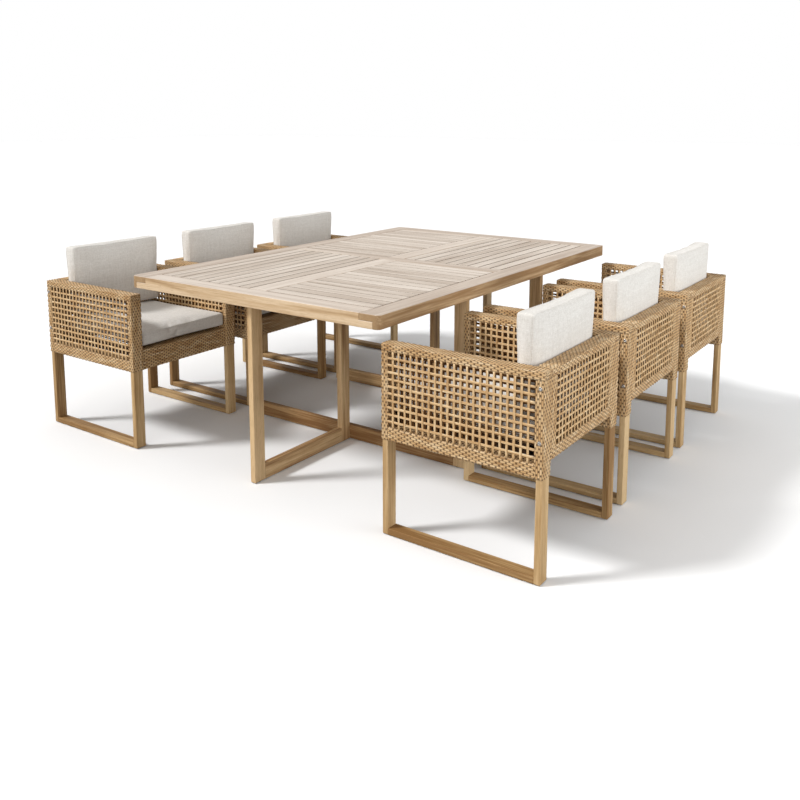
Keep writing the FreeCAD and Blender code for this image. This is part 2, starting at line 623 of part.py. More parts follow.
CUSHION_X = f"( {INNER_X[0]} + cushion_clearance )"
CUSHION_Y = f"( {BACK_PANEL_Y[1]} + cushion_clearance )"
CUSHION_WIDTH = f"( 2 * ( {ARM_X[0]} - cushion_clearance ) )"
SEAT_CUSHION_Z = "( seat_height + rest_gap )"
seat_cushion = cushion("seat_cushion_pattern", CUSHION_WIDTH, f"{FRONT} - cushion_front_recess - {CUSHION_Y}",
                       "seat_cushion_thickness", CUSHION_X, CUSHION_Y, SEAT_CUSHION_Z)
back_cushion = cushion("back_cushion_pattern", CUSHION_WIDTH, "back_cushion_thickness", "back_cushion_height",
                       CUSHION_X, CUSHION_Y, f"{SEAT_CUSHION_Z} + seat_cushion_thickness + rest_gap")
CHAIR_PIECES = {
    "leg_frame": mirrored_pair("leg_frame_pattern", sled()),
    "inner_frame": group("inner_frame_pattern",
                         [mirrored_pair("arm_tube_pairs", arm_tubes())] + back_tubes() + seat_tubes()),
    "arm_weave": mirrored_pair("arm_weave_pattern", woven_arm()),
    "back_weave": woven_back(),
    "seat_weave": woven_seat(),
    "fittings": mirrored_pair("fittings_pattern", side_fittings()),
    "seat_cushion": seat_cushion,
    "back_cushion": back_cushion,
}

# ---------------------------------------------------------------- the named sub-parts
parts = [
    group("table_long_rails", [left_rail, right_rail]),
    group("table_end_rails", [near_end, far_end]),
    group("table_cross_beam", [cross_beam]),
    group("table_centre_beams", [centre_beam_near, centre_beam_far]),
    group("table_lengthwise_slats", both_ends(long_panel, "long_panel")),
    group("table_crosswise_slats", both_ends(cross_panel, "cross_panel")),
    group("table_battens",
          both_ends(long_battens, "long_battens") + both_ends(cross_battens, "cross_battens")),
    group("table_long_frames", both_ends(long_frame, "long_frame")),
    group("table_cross_frames", both_ends(cross_frame, "cross_frame")),
    at_both_ends("table_glides", table_glides),
    at_both_ends("table_fasteners", table_fasteners),
]
CHAIR_PITCH = "( chair_width + chair_gap )"
CHAIR_OUT = f"( {HALF_WIDTH} + chair_front_gap + chair_depth / 2 )"
for row, (side, angle) in enumerate((("-", 0), ("", 180))):
    for column in (-1, 0, 1):
        number = 3 * row + column + 2
        for piece, pattern in CHAIR_PIECES.items():
            parts.append(copy_of(pattern, f"chair{number}_{piece}", f"{column} * {CHAIR_PITCH}",
                                 f"{side} {CHAIR_OUT}", "0", (0, 0, 1), angle))

# ---------------------------------------------------------------- check and export
doc.recompute()
for thing in doc.Objects:
    bad = [word for word in ("Invalid", "Error") if word in thing.State]
    if bad:
        raise RuntimeError(f"{thing.Name} is {bad}")
for part in parts:
    shape = part.Shape
    if shape.isNull() or not shape.isValid() or not shape.Solids:
        raise RuntimeError(f"{part.Label} has no valid solid")
    if any(solid.Volume <= 0 for solid in shape.Solids):
        raise RuntimeError(f"{part.Label} has an empty solid")
os.makedirs("parts", exist_ok=True)
for part in parts:
    part.Shape.exportStep(f"parts/{part.Label}.step")
    box = part.Shape.BoundBox
    print(f"{part.Label:26s} solids {len(part.Shape.Solids):3d}  volume {part.Shape.Volume / 1000:9.1f} cm3  "
          f"z {box.ZMin:6.1f} to {box.ZMax:6.1f}")
print(len(parts), "sub-parts")
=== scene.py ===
# %% [markdown]
# Patio dining set: the looks
#
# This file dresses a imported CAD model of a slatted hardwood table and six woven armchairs. The CAD
# says where every piece is, and Blender adds what the eye wants: softened wood with grain, strands
# that pass over and under each other, and sewn cushions with air in them. Lengths are metres, X runs
# along the table, Y across it, and Z is up from the floor.

import math

import bmesh
import bpy
import numpy as np
from mathutils import Matrix, Vector


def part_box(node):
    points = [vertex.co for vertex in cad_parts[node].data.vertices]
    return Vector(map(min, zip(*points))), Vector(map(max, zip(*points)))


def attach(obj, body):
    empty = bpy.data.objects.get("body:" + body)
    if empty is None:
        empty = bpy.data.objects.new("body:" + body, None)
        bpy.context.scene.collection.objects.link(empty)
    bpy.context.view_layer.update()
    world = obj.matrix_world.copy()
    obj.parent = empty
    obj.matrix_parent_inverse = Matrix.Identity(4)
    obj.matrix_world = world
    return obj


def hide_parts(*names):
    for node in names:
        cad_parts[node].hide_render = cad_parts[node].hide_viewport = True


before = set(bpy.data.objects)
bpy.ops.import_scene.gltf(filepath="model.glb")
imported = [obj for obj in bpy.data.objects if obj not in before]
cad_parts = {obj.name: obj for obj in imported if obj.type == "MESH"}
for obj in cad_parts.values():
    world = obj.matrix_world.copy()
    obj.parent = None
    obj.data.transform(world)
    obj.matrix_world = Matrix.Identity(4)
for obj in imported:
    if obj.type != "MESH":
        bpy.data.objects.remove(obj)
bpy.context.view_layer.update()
scene = bpy.context.scene
CHAIRS = range(1, 7)

# %% [markdown]
# Every object holds a mesh that is already in its place, so the object itself stays at the origin.
# Every finish is a small tree of nodes. These helpers keep both readable.


# %% Helpers for objects
def in_scene(name, data):
    """A new object at the origin."""
    made = bpy.data.objects.new(name, data)
    scene.collection.objects.link(made)
    return made


def stands_for(piece, body, node):
    """Say which body a piece rides on and which CAD node it takes the place of, which is hidden."""
    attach(piece, body)
    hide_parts(node)


def smooth_piece(name, points, faces, finish):
    """A new object of smoothly shaded faces."""
    mesh = bpy.data.meshes.new(name)
    mesh.from_pydata(points.tolist(), [], faces)
    mesh.polygons.foreach_set("use_smooth", np.ones(len(mesh.polygons), bool))
    mesh.materials.append(finish)
    return in_scene(name, mesh)


def vertex_array(mesh):
    """A mesh's points as an array."""
    points = np.empty(len(mesh.vertices) * 3)
    mesh.vertices.foreach_get("co", points)
    return points.reshape(-1, 3)


# %% Helpers for materials
WHITE = (1.0, 1.0, 1.0, 1.0)


def srgb(red, green, blue):
    """A colour given as 0 to 255 on screen, as the linear values that the nodes work with."""
    values = np.array([red, green, blue]) / 255.0
    linear = np.where(values <= 0.04045, values / 12.92, ((values + 0.055) / 1.055) ** 2.4)
    return (*linear.tolist(), 1.0)


def new_material(name, **sockets):
    """A material with one principled shader, whose uniform numbers are set on its own sockets."""
    material = bpy.data.materials.new(name)
    material.use_nodes = True
    shader = material.node_tree.nodes["Principled BSDF"]
    for socket, value in sockets.items():
        shader.inputs[socket.replace("_", " ")].default_value = value
    return material, material.node_tree, shader


def add(tree, kind, inputs=None, **settings):
    """A node with settings, whose inputs are numbers, colours or other nodes' outputs."""
    made = tree.nodes.new("ShaderNode" + kind)
    for name, value in settings.items():
        setattr(made, name, value)
    for name, value in (inputs or {}).items():
        if isinstance(value, bpy.types.NodeSocket):
            tree.links.new(value, made.inputs[name])
        else:
            made.inputs[name].default_value = value
    return made


def blend_colours(tree, share, first, second):
    """Two colours mixed by a share from 0 to 1."""
    return add(tree, "Mix", {0: share, 6: first, 7: second}, data_type="RGBA").outputs[2]


def ramp(tree, value, *stops):
    """A value turned into a colour by stops of (place, colour)."""
    made = add(tree, "ValToRGB", {"Fac": value})
    elements = made.color_ramp.elements
    while len(elements) < len(stops):
        elements.new(0.5)
    for element, (place, colour) in zip(elements, stops):
        element.position = place
        element.color = colour
    return made.outputs["Color"]


def span(tree, value, low, high, to_low=0.0, to_high=1.0):
    """A value's range low to high carried over to another range."""
    return add(tree, "MapRange", {"Value": value, "From Min": low, "From Max": high,
                                  "To Min": to_low, "To Max": to_high}).outputs["Result"]


def calc(tree, how, first, second=0.0):
    """One step of arithmetic."""
    return add(tree, "Math", {0: first, 1: second}, operation=how).outputs[0]


def noise(tree, place, scale, detail=2.0, **more):
    """Smooth noise. scale is a number, or three of them to draw the noise out along an axis."""
    if isinstance(scale, tuple):
        place = add(tree, "Mapping", {"Vector": place, "Scale": scale}).outputs[0]
        scale = 1.0
    inputs = {"Vector": place, "Scale": scale, "Detail": detail, **more}
    return add(tree, "TexNoise", inputs).outputs["Fac"]


def spot(tree):
    """Where a point is in its object."""
    return add(tree, "TexCoord").outputs["Object"]


def finish_with(tree, shader, colour, roughness=None, height=None, strength=0.0, distance=0.0):
    """Wire up a shader: its colour and, if they vary, its roughness and the height of its bumps."""
    tree.links.new(colour, shader.inputs["Base Color"])
    if roughness is not None:
        tree.links.new(roughness, shader.inputs["Roughness"])
    if height is not None:
        bump = add(tree, "Bump", {"Height": height, "Strength": strength, "Distance": distance})
        tree.links.new(bump.outputs["Normal"], shader.inputs["Normal"])


# %% [markdown]
# The camera is a long lens at eye height that looks slightly down. Most of the tilt is done by
# shifting the lens, as a furniture photographer does, so that the legs stay upright in the picture.

# %% Camera
CAMERA_PLACE = (-3.1647, -2.2777, 1.3981)
CAMERA_TURN = math.radians(35.223)
CAMERA_TILT = math.radians(-8.204)
lens = bpy.data.cameras.new("camera")
lens.sensor_width = 36.0
lens.lens = 38.96
lens.shift_y = -0.20
camera = in_scene("camera", lens)
look = Vector((math.cos(CAMERA_TURN) * math.cos(CAMERA_TILT),
               math.sin(CAMERA_TURN) * math.cos(CAMERA_TILT), math.sin(CAMERA_TILT)))
camera.matrix_world = Matrix.Translation(CAMERA_PLACE) @ look.to_track_quat("-Z", "Y").to_matrix().to_4x4()
bpy.context.scene.camera = camera

# %% [markdown]
# A bright studio is a white floor under a white sky. The key lamp shines down over the far side and
# lays soft shadows along the floor. A weak warm lamp from the table's end lights the ends of the
# boards, and a large cool panel lifts the near side. A real white studio would bounce so much light
# that the shadows went flat, so the sky and the floor are white only to the camera: the light that
# they give is less. Colours go to the screen as they are, so that white cloth stays white.

# %% Studio
scene.view_settings.view_transform = "Standard"
SKY_OVERHEAD, SKY_AT_HORIZON = 0.70, 0.26
sky = bpy.data.worlds.new("studio_sky")
scene.world = sky
sky.use_nodes = True
tree = sky.node_tree
height = add(tree, "SeparateXYZ", {0: add(tree, "TexCoord").outputs["Generated"]}).outputs["Z"]
giving = tree.nodes["Background"]
giving.inputs["Color"].default_value = WHITE
tree.links.new(span(tree, height, 0.0, 1.0, SKY_AT_HORIZON, SKY_OVERHEAD), giving.inputs["Strength"])
shown = add(tree, "Background", {"Color": WHITE})
seen = add(tree, "LightPath").outputs["Is Camera Ray"]
sky_mix = add(tree, "MixShader", {0: seen, 1: giving.outputs[0], 2: shown.outputs[0]})
tree.links.new(sky_mix.outputs[0], tree.nodes["World Output"].inputs["Surface"])


def lamp(name, kind, power, colour, facing, place=(0.0, 0.0, 0.0)):
    """A lamp at a place whose light arrives from the direction facing. Returns its object."""
    light = bpy.data.lights.new(name, kind)
    light.energy = power
    light.color = colour
    holder = in_scene(name, light)
    turn = Vector(facing).to_track_quat("Z", "Y").to_matrix().to_4x4()
    holder.matrix_world = Matrix.Translation(place) @ turn
    return holder


def sun(name, facing, strength, softness_degrees, colour=(1.0, 1.0, 1.0)):
    """A distant lamp; the wider it looks, the softer its shadows."""
    lamp(name, "SUN", strength, colour, facing).data.angle = math.radians(softness_degrees)


def soft_box(name, place, aimed_at, watts, width, height, colour):
    """A glowing panel at place that looks at aimed_at; its light fades with distance."""
    holder = lamp(name, "AREA", watts, colour, Vector(place) - Vector(aimed_at), place)
    holder.visible_camera = False
    panel = holder.data
    panel.shape, panel.size, panel.size_y = "RECTANGLE", width, height


sun("key_lamp", (-0.55, 0.55, 0.72), 2.6, 12.0)
sun("low_left_lamp", (-0.92, -0.34, 0.20), 0.85, 30.0, (1.0, 0.98, 0.95))
soft_box("near_panel", (0.5, -5.6, 1.3), (0.0, -0.8, 0.5), 150.0, 4.0, 2.0, (0.95, 0.98, 1.0))

# %% Floor
FLOOR_BOUNCE = 0.36
FLOOR_REACH = 40.0
floor_material, tree, shader = new_material("studio_floor", Roughness=0.9, Specular_IOR_Level=0.1)
pale = ramp(tree, noise(tree, spot(tree), 1.5), (0.3, (0.93, 0.93, 0.93, 1)), (0.7, (0.95, 0.95, 0.95, 1)))
seen = add(tree, "LightPath").outputs["Is Camera Ray"]
finish_with(tree, shader, blend_colours(tree, seen, (FLOOR_BOUNCE,) * 3 + (1,), pale))
floor_mesh = bpy.data.meshes.new("floor")
floor_mesh.from_pydata([(-FLOOR_REACH, -FLOOR_REACH, 0), (FLOOR_REACH, -FLOOR_REACH, 0),
                        (FLOOR_REACH, FLOOR_REACH, 0), (-FLOOR_REACH, FLOOR_REACH, 0)], [], [(0, 1, 2, 3)])
floor_mesh.materials.append(floor_material)
floor = in_scene("floor", floor_mesh)

# %% [markdown]
# Wood
#
# The CAD has every board as a sharp box. A joiner takes the edges off with a pass of sandpaper, and
# that thin highlight is what makes a board look like wood. So each wooden node is copied, its boards
# are told apart, and a bevel of about two millimetres softens them. Two boards may touch along an
# edge, so a board is found as the faces that are joined by edges which exactly two faces share.


# %% Helpers for boards
def grouped(count, pairs):
    """A group number for each of count things, where pairs says which are joined.

    Every thing starts as its own group, then takes the lowest number among its partners again and
    again until nothing changes.
    """
    label = np.arange(count)
    while True:
        lowest = label.copy()
        np.minimum.at(lowest, pairs[:, 0], label[pairs[:, 1]])
        np.minimum.at(lowest, pairs[:, 1], label[pairs[:, 0]])
        lowest = lowest[lowest]
        if np.array_equal(lowest, label):
            return np.unique(label, return_inverse=True)[1]
        label = lowest


def mesh_arrays(mesh):
    """A mesh's points and its triangles as arrays."""
    mesh.calc_loop_triangles()
    corners = np.empty(len(mesh.loop_triangles) * 3, int)
    mesh.loop_triangles.foreach_get("vertices", corners)
    return vertex_array(mesh), corners.reshape(-1, 3)


def separate_boards(node):
    """Points and triangles of a CAD node with its boards cut loose from each other."""
    points, corners = mesh_arrays(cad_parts[node].data)
    merged, where = np.unique(np.round(points, 6), axis=0, return_inverse=True)
    corners = where.reshape(-1)[corners]
    edges = np.sort(corners[:, [0, 1, 1, 2, 2, 0]].reshape(-1, 2), axis=1)
    owner = np.repeat(np.arange(len(corners)), 3)
    edge_number, count = np.unique(edges, axis=0, return_inverse=True, return_counts=True)[1:]
    edge_number = edge_number.reshape(-1)
    order = np.argsort(edge_number, kind="stable")
    order = order[count[edge_number[order]] == 2]
    board = grouped(len(corners), owner[order].reshape(-1, 2))
    keys = np.stack([np.repeat(board, 3), corners.reshape(-1)], axis=1)
    unique_keys, new_corner = np.unique(keys, axis=0, return_inverse=True)
    return merged[unique_keys[:, 1]], new_corner.reshape(-1, 3)


def set_attribute(mesh, name, kind, domain, values):
    """Write an array into a named attribute of a mesh."""
    layer = mesh.attributes.new(name, kind, domain)
    target = "vector" if kind == "FLOAT_VECTOR" else "value"
    layer.data.foreach_set(target, np.ravel(values).astype(np.float32))


def board_attributes(mesh, seed):
    """Give each board its own run of grain. Returns how many boards there are.

    grain is a point's place in its board, with the longest side first and a shift of its own for
    each board; tone is one number for each board; end_grain and upward say how squarely a face
    looks along the grain and up.
    """
    points, corners = mesh_arrays(mesh)
    edges = np.empty(len(mesh.edges) * 2, int)
    mesh.edges.foreach_get("vertices", edges)
    board = grouped(len(points), edges.reshape(-1, 2))
    number = board.max() + 1
    low, high = np.full((number, 3), np.inf), np.full((number, 3), -np.inf)
    np.minimum.at(low, board, points)
    np.maximum.at(high, board, points)
    longest_first = np.argsort(-(high - low), axis=1, kind="stable")
    draw = np.random.default_rng(seed)
    shift = draw.uniform(-40.0, 40.0, (number, 3))
    tone = draw.uniform(0.0, 1.0, number)
    local = np.take_along_axis(points - low[board], longest_first[board], axis=1)
    set_attribute(mesh, "grain", "FLOAT_VECTOR", "POINT", local + shift[board])
    set_attribute(mesh, "tone", "FLOAT", "POINT", tone[board])
    normals = np.empty(len(mesh.polygons) * 3)
    mesh.polygons.foreach_get("normal", normals)
    normals = normals.reshape(-1, 3)
    first_corner = np.empty(len(mesh.polygons), int)
    mesh.polygons.foreach_get("loop_start", first_corner)
    loop_point = np.empty(len(mesh.loops), int)
    mesh.loops.foreach_get("vertex_index", loop_point)
    along = longest_first[board[loop_point[first_corner]], 0]
    set_attribute(mesh, "end_grain", "FLOAT", "FACE", np.abs(np.take_along_axis(normals, along[:, None], 1)))
    set_attribute(mesh, "upward", "FLOAT", "FACE", normals[:, 2])
    return number


def boards(node, body, finish, edge_rounding, seed):
    """Replace a wooden CAD node with the same boards, their arrises rounded and their grain set out."""
    points, corners = separate_boards(node)
    mesh = bpy.data.meshes.new(node + "_boards")
    mesh.from_pydata(points.tolist(), [], corners.tolist())
    work = bmesh.new()
    work.from_mesh(mesh)
    bmesh.ops.dissolve_limit(work, angle_limit=math.radians(1.0), verts=work.verts, edges=work.edges)
    sharp = [edge for edge in work.edges if edge.is_manifold and edge.calc_face_angle() > math.radians(30.0)]
    bmesh.ops.bevel(work, geom=sharp, offset=edge_rounding, segments=2, profile=0.5, affect="EDGES",
                    clamp_overlap=True)
    bmesh.ops.triangulate(work, faces=[face for face in work.faces if len(face.verts) > 4])
    work.to_mesh(mesh)
    work.free()
    mesh.materials.append(finish)
    count = board_attributes(mesh, seed)
    piece = in_scene(node + "_boards", mesh)
    stands_for(piece, body, node)
    print(piece.name, count, "boards", len(mesh.polygons), "faces")


# %% [markdown]
# Acacia is a lively wood: bands of light and dark run along a board, with fine pores between them.
# Noise that is stretched along the grain gives the bands, a finer one gives the pores, and each
# board has a tone of its own. The table top is brushed and whitewashed, which shows mostly on faces
# that look up, while its edges keep the golden colour. The slats' sides, down in the gaps, are painted
# much darker as painted shade in the gaps. End grain drinks more oil and is darker too.


# %% Wood finishes
def wood(name, pale, middle, dark, end_colour, wash=None, wash_share=0.9, roughness=0.5, variety=0.12):
    """A wood of three colours, with end grain and, if wanted, a pale wash on faces that look up.

    variety is how far one board's tone is from another's.
    """
    material, tree, shader = new_material(name, Specular_IOR_Level=0.35)
    place = add(tree, "Attribute", attribute_name="grain").outputs["Vector"]
    tone = add(tree, "Attribute", attribute_name="tone").outputs["Fac"]
    bands = noise(tree, place, (1.6, 26.0, 26.0), 4.0, Roughness=0.55, Distortion=0.6)
    streaks = noise(tree, place, (5.0, 190.0, 190.0), 3.0, Roughness=0.6)
    pores = noise(tree, place, (28.0, 900.0, 900.0), 1.0)
    figure = calc(tree, "ADD", calc(tree, "MULTIPLY", bands, 0.62), calc(tree, "MULTIPLY", streaks, 0.38))
    figure = calc(tree, "ADD", figure, span(tree, tone, 0.0, 1.0, -variety, variety))
    colour = ramp(tree, figure, (0.36, dark), (0.50, middle), (0.63, pale))
    colour = blend_colours(tree, span(tree, pores, 0.56, 0.72, 0.0, 0.45), colour, dark)
    end = add(tree, "Attribute", attribute_name="end_grain").outputs["Fac"]
    colour = blend_colours(tree, span(tree, end, 0.6, 0.95, 0.0, 0.75), colour, end_colour)
    if wash:
        upward = add(tree, "Attribute", attribute_name="upward").outputs["Fac"]
        limed = blend_colours(tree, span(tree, figure, 0.36, 0.64, 0.45, 1.0), wash[0], wash[1])
        colour = blend_colours(tree, span(tree, upward, 0.2, 0.9, 0.0, wash_share), colour, limed)
    matt = span(tree, streaks, 0.3, 0.7, roughness + 0.08, roughness - 0.08)
    height = calc(tree, "ADD", calc(tree, "MULTIPLY", streaks, 0.6), calc(tree, "MULTIPLY", pores, 0.4))
    finish_with(tree, shader, colour, matt, height, 0.25, 0.0006)
    return material


top_wood = wood("limed_acacia", srgb(218, 192, 158), srgb(198, 168, 130), srgb(156, 122, 84),
                srgb(160, 130, 94), wash=(srgb(152, 130, 110), srgb(222, 211, 200)), roughness=0.6)
# The slats' dark base colours are painted shade: they show only on the slats' sides, down in the gaps, since
# the tops are washed.
slat_wood_painted_gap_shade = wood("limed_acacia_slats_painted_gap_shade", srgb(118, 90, 62), srgb(94, 70, 44), srgb(72, 52, 32),
                 srgb(84, 62, 40), wash=(srgb(146, 122, 98), srgb(228, 217, 205)), wash_share=0.95,
                 roughness=0.6, variety=0.07)
base_wood = wood("oiled_acacia", srgb(214, 182, 138), srgb(188, 152, 108), srgb(132, 94, 56),
                 srgb(134, 102, 68))
chair_wood = wood("oiled_acacia_chairs", srgb(208, 178, 134), srgb(184, 150, 104), srgb(138, 102, 60),
                  srgb(138, 106, 70))

# %% Boards of the table and of the chairs
FRAME_ROUNDING, SLAT_ROUNDING, LEG_ROUNDING = 0.0022, 0.0018, 0.0020
BOARDS = (
    ("top_wood", top_wood, FRAME_ROUNDING, {"table_long_rails": 11, "table_end_rails": 12,
                                            "table_cross_beam": 13, "table_centre_beams": 14}),
    ("top_wood", slat_wood_painted_gap_shade, SLAT_ROUNDING, {"table_lengthwise_slats": 21, "table_crosswise_slats": 22}),
    ("base_wood", base_wood, LEG_ROUNDING, {"table_battens": 31, "table_long_frames": 71,
                                            "table_cross_frames": 53}),
)
for slot, finish, rounding, seeds in BOARDS:
    for node, seed in seeds.items():
        boards(node, "table", finish, rounding, seed)
for number in CHAIRS:
    boards(f"chair{number}_leg_frame", f"chair{number}", chair_wood, LEG_ROUNDING, 40 + number)

# %% [markdown]
# Woven strands
#
# The arms and the back are frames of thin tube with resin strands woven round them: close weave
# round the edges, and an open lattice in the window between. Both are surfaces carried along a path.
# One grid of points holds a whole family of strands: which strand, how far along it, and how far
# round its outline. A texture would be quicker, but the light has to fall through the real holes.

# %% Helper for surfaces carried along a path
def carried(points, along, across, out_of, capped=False):
    """Faces over points[strand, step, round], closed round the outline.

    along[strand, step] and across[strand, round + 1] are the strand's own coordinates, and out_of is
    1 if the outline turns anticlockwise when seen from the path's far end, or -1 if it doesn't.
    """
    strands, steps, around = points.shape[:3]
    here = np.arange(strands * steps * around).reshape(strands, steps, around)
    beside = np.roll(here, -1, axis=2)
    quads = np.stack([here[:, :-1], beside[:, :-1], beside[:, 1:], here[:, 1:]], axis=-1)
    shape = (strands, steps - 1, around)
    u, u_next, v, v_next = (np.broadcast_to(value, shape) for value in (
        along[:, :-1, None], along[:, 1:, None], across[:, None, :-1], across[:, None, 1:]))
    corners = ((u, v), (u, v_next), (u_next, v_next), (u_next, v))
    places = np.stack([np.stack(corner, axis=-1) for corner in corners], axis=-2)
    quads, places = quads.reshape(-1, 4), places.reshape(-1, 4, 2)
    if capped:
        lid = np.array([[0, 1, 2, 3], [0, 3, 4, 7], [4, 5, 6, 7]])
        far = here[:, -1][:, lid].reshape(-1, 4)
        near = here[:, 0][:, lid[:, ::-1]].reshape(-1, 4)
        quads = np.concatenate([quads, near, far])
        flat = np.stack([along[:, 0], across[:, 0]], axis=-1)
        flat = np.repeat(flat[:, None], len(lid) * 4, axis=1).reshape(-1, 4, 2)
        places = np.concatenate([places, flat, flat])
    if out_of < 0:
        quads, places = quads[:, ::-1], places[:, ::-1]
    return {"points": points.reshape(-1, 3), "quads": quads, "places": places}


def joined(parts):
    """Several surfaces as one, each keeping its finish number."""
    shift = np.cumsum([0] + [len(part["points"]) for part in parts[:-1]])
    return {
        "points": np.concatenate([part["points"] for part in parts]),
        "quads": np.concatenate([part["quads"] + step for part, step in zip(parts, shift)]),
        "places": np.concatenate([part["places"] for part in parts]),
        "finish": np.concatenate([np.broadcast_to(part["finish"], len(part["quads"])) for part in parts]),
    }


def mirrored(part):
    """The same surface on the other side of the chair, with its faces turned to look outwards again."""
    return {**part, "points": part["points"] * (-1, 1, 1), "quads": part["quads"][:, ::-1],
            "places": part["places"][:, ::-1]}


# %% [markdown]
# The lattice
#
# Each line of the lattice is a pair of strands side by side, so its outline has two humps. It goes
# over one crossing line and under the next, and the line beside it does the opposite. Its back, which
# looks into the panel, is painted a deep brown as painted shade: seen through the holes, the inside of the
# panel is in shade.

# %% Open lattice
STRAND = 0.008
HALF_THICK = 0.00125
WAVE = 0.0007
PAIR_ACROSS = np.array([-1.0, -0.66, 0.0, 0.66, 1.0, 0.66, 0.0, -0.66]) * 0.54 * STRAND
PAIR_HEIGHT = np.array([0.0, -1.0, -0.5, -1.0, 0.0, 1.0, 0.5, 1.0]) * HALF_THICK
PAIR_PLACE = np.array([0.0, 0.45, 1.0, 1.55, 2.0, 1.55, 1.0, 0.45, 0.0])
TUCK = 0.003
# The third finish, for the strands' backs that look into the panel, is painted shade: a deep brown for the
# panel's shaded inside.
OPEN, CLOSE, PAINTED_SHADE_BACKS = 0, 1, 2
PAIR_FINISH = [PAINTED_SHADE_BACKS] * 4 + [OPEN] * 4
STAKE = 0.0117


def strands_one_way(corner, along, across, out, length, breadth, counts, first_over, draw):
    """Pairs of strands that run one way over a window.

    A strand's centre is at corner + along * t + across * c + out * h, where h is WAVE at the middle
    of a line it goes over, -WAVE where it goes under, and 0 between them. counts is the number of
    holes along and across.
    """
    pitch_t, pitch_c = (length + STRAND) / counts[0], (breadth + STRAND) / counts[1]
    step = np.arange(1, 2 * counts[0])
    t = np.concatenate([[-TUCK], step * pitch_t / 2 - STRAND / 2, [length + TUCK]])
    line = np.arange(1, counts[1])
    over = ((step // 2)[None] + line[:, None] + first_over) % 2 == 0
    h = np.where(step % 2 == 0, np.where(over, WAVE, -WAVE), 0.0)
    h = np.pad(h, ((0, 0), (1, 1)))
    phase, lean = draw.uniform(0, 2 * math.pi, len(line)), draw.uniform(0.05, 0.3, len(line)) / 1000
    c = (line * pitch_c - STRAND / 2)[:, None] + lean[:, None] * np.sin(t[None] / length * 9 + phase[:, None])
    width = draw.uniform(0.93, 1.07, len(line))
    centres = (corner + t[None, :, None] * along + c[..., None] * across + h[..., None] * out)
    outline = (width[:, None, None] * PAIR_ACROSS[None, :, None] * across + PAIR_HEIGHT[None, :, None] * out)
    points = centres[:, :, None] + outline[:, None]
    turn = 1 if np.dot(np.cross(across, out), along) > 0 else -1
    number = draw.integers(0, 500, len(line)) * 2.0
    made = carried(points, np.broadcast_to(t / STAKE, (len(line), len(t))),
                   number[:, None] + PAIR_PLACE, turn, True)
    sides = PAIR_FINISH * (len(line) * (len(t) - 1))
    made["finish"] = np.array(sides + [OPEN] * (len(made["quads"]) - len(sides)))
    return made


def lattice(corner, a, b, size_a, size_b, holes, draw):
    """A window of crossing strands. a and b span it, and their cross product looks outwards."""
    corner, a, b = (np.array(value, float) for value in (corner, a, b))
    out = np.cross(a, b)
    return [strands_one_way(corner, a, b, out, size_a, size_b, holes, 0, draw),
            strands_one_way(corner, b, a, out, size_b, size_a, holes[::-1], 1, draw)]


# %% [markdown]
# The close weave
#
# Round the windows the strands lie side by side, seven millimetres each, and dip under a stake every
# twelve. The weave wraps the frame, so each side of a frame is a closed outline carried along it.
# The surface rises at the middle of a strand, falls between two strands, and sinks where a strand
# goes under a stake; the strand beside it goes under the next stake instead.

# %% Close weave
ROW = 0.0070
CREST, VALLEY, DIP, MIDDLE = 0.0003, -0.0016, -0.0026, -0.0002
CORNER_MIDWAY = 0.29
LAST_RING, CLOSED = 0.002, 1e-5
BOTH, ONLY_FIRST, NEITHER = (True, True), (True, False), (False, False)


def rounded_outline(width, height, radius, count):
    """count points evenly spaced round a rectangle with rounded corners, and where each looks."""
    radius = max(min(radius, width / 2, height / 2), CLOSED)
    angle = (np.linspace(0, 90, 7)[None] + np.array([-90, 0, 90, 180])[:, None]) * math.pi / 180
    look = np.stack([np.cos(angle), np.sin(angle)], -1)
    centre = np.array([[1, -1], [1, 1], [-1, 1], [-1, -1]]) * (width / 2 - radius, height / 2 - radius)
    path = (centre[:, None] + radius * look).reshape(-1, 2)
    look = look.reshape(-1, 2)
    path, look = np.concatenate([path, path[:1]]), np.concatenate([look, look[:1]])
    run = np.concatenate([[0], np.cumsum(np.linalg.norm(np.diff(path, axis=0), axis=1))])
    place = np.arange(count) / count * run[-1]
    points = np.stack([np.interp(place, run, path[:, k]) for k in (0, 1)], -1)
    look = np.stack([np.interp(place, run, look[:, k]) for k in (0, 1)], -1)
    return points, look / np.linalg.norm(look, axis=1, keepdims=True)


